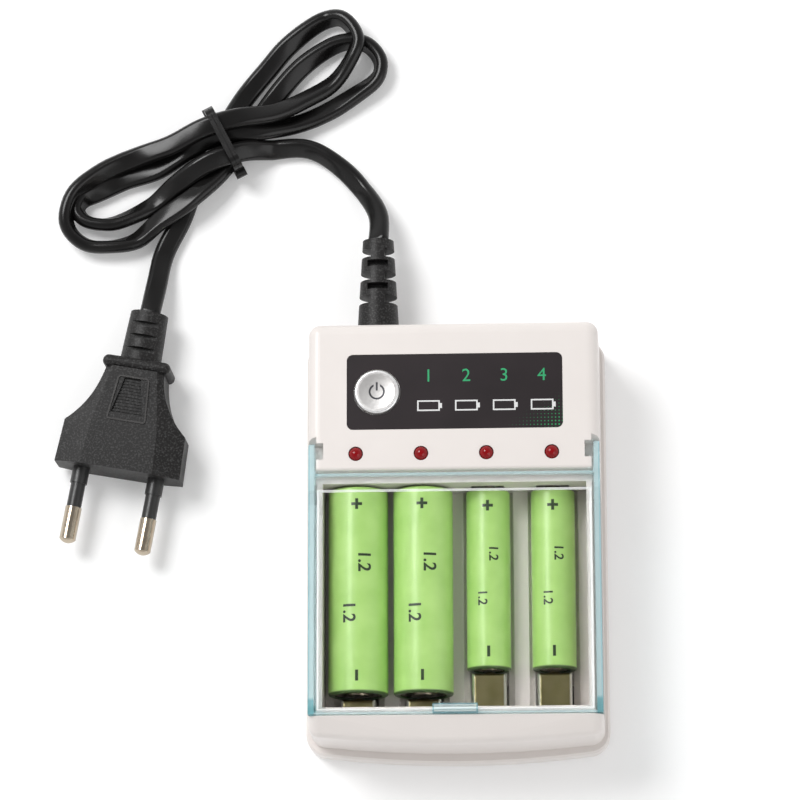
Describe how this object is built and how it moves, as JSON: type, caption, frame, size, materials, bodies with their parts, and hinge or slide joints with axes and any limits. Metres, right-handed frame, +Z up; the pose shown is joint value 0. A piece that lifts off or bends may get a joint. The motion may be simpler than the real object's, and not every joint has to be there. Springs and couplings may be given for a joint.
{
  "type": "battery charger",
  "caption": "Mains charger for small round cells, with a clear hinged lid over a moulded tray, lights, a power button and a flat lead with a two-pin plug.",
  "frame": {"origin": "centre of the housing's underside, the middle of its bounding box", "axes": "+X to the right as seen from above with the lid's finger tab toward the viewer, +Y toward the end with the lead, +Z up"},
  "size_m": [0.1357, 0.1915, 0.029],
  "materials": {
    "ivory_plastic": "satin",
    "panel": "satin",
    "button_metal": "bright rim, dished",
    "clear_plastic": "clear, teal edges",
    "red_lens": "translucent dark red",
    "nickel": "plated",
    "spring_steel": "plated wire",
    "board": "lacquered",
    "laminations": "dull",
    "winding_tape": "taped",
    "capacitor_film": "shrunk film",
    "black_resin": "moulded",
    "screw_steel": "zinc plated",
    "wire_insulation": "soft",
    "black_vinyl": "satin",
    "tie_plastic": "satin",
    "plug_plastic": "fine grained",
    "pin_nickel": "bright plated",
    "pin_insulation": "smooth",
    "cell_steel": "bright plated",
    "cell_sleeve": "shrunk film, light green"
  },
  "bodies": {
    "charger": {"base_shell": "ivory_plastic", "top_shell": "ivory_plastic", "label_panel": "panel", "led_1": "red_lens", "led_2": "red_lens", "led_3": "red_lens", "led_4": "red_lens", "positive_contact_1": "nickel", "positive_contact_2": "nickel", "positive_contact_3": "nickel", "positive_contact_4": "nickel", "contact_spring_1": "spring_steel", "contact_spring_2": "spring_steel", "contact_spring_3": "spring_steel", "contact_spring_4": "spring_steel", "negative_bus": "nickel", "circuit_board": "board", "transformer_core": "laminations", "transformer_winding": "winding_tape", "filter_capacitor": "capacitor_film", "rectifier_diodes": "black_resin", "charge_transistors": "black_resin", "push_switch": "black_resin", "case_screws": "screw_steel", "mains_wires": "wire_insulation", "bus_wire": "wire_insulation", "aa_can_1": "cell_steel", "aa_can_2": "cell_steel", "aa_sleeve_1": "cell_sleeve", "aa_sleeve_2": "cell_sleeve", "aaa_can_1": "cell_steel", "aaa_can_2": "cell_steel", "aaa_sleeve_1": "cell_sleeve", "aaa_sleeve_2": "cell_sleeve", "strain_relief": "black_vinyl", "mains_cord": "black_vinyl", "cord_tie": "tie_plastic", "plug_body": "plug_plastic", "plug_pin_1": "pin_nickel", "plug_pin_2": "pin_nickel", "pin_sleeve_1": "pin_insulation", "pin_sleeve_2": "pin_insulation"},
    "lid": {"lid": "clear_plastic"},
    "button": {"power_button": "button_metal", "switch_plunger": "ivory_plastic"},
    "contact_1": {"sliding_contact_1": "nickel"},
    "contact_2": {"sliding_contact_2": "nickel"},
    "contact_3": {"sliding_contact_3": "nickel"},
    "contact_4": {"sliding_contact_4": "nickel"}
  },
  "joints": [
    {"name": "lid_hinge", "type": "hinge", "parent": "charger", "child": "lid", "pos_m": [0, 0.02, 0.0259], "axis": [-1, 0, 0], "range_deg": [0, 115]},
    {"name": "button_push", "type": "slide", "parent": "charger", "child": "button", "axis": [0, 0, -1], "range_m": [0, 0.0008], "stiffness_N_per_m": 1500, "springref_m": -0.0005},
    {"name": "contact_1_slide", "type": "slide", "parent": "charger", "child": "contact_1", "axis": [0, -1, 0], "range_m": [0, 0.0006], "stiffness_N_per_m": 300, "springref_m": -0.01, "deforming": ["contact_spring_1"]},
    {"name": "contact_2_slide", "type": "slide", "parent": "charger", "child": "contact_2", "axis": [0, -1, 0], "range_m": [0, 0.0006], "stiffness_N_per_m": 300, "springref_m": -0.01, "deforming": ["contact_spring_2"]},
    {"name": "contact_3_slide", "type": "slide", "parent": "charger", "child": "contact_3", "axis": [0, -1, 0], "range_m": [0, 0.0066], "stiffness_N_per_m": 300, "springref_m": -0.004, "deforming": ["contact_spring_3"]},
    {"name": "contact_4_slide", "type": "slide", "parent": "charger", "child": "contact_4", "axis": [0, -1, 0], "range_m": [0, 0.0066], "stiffness_N_per_m": 300, "springref_m": -0.004, "deforming": ["contact_spring_4"]}
  ]
}
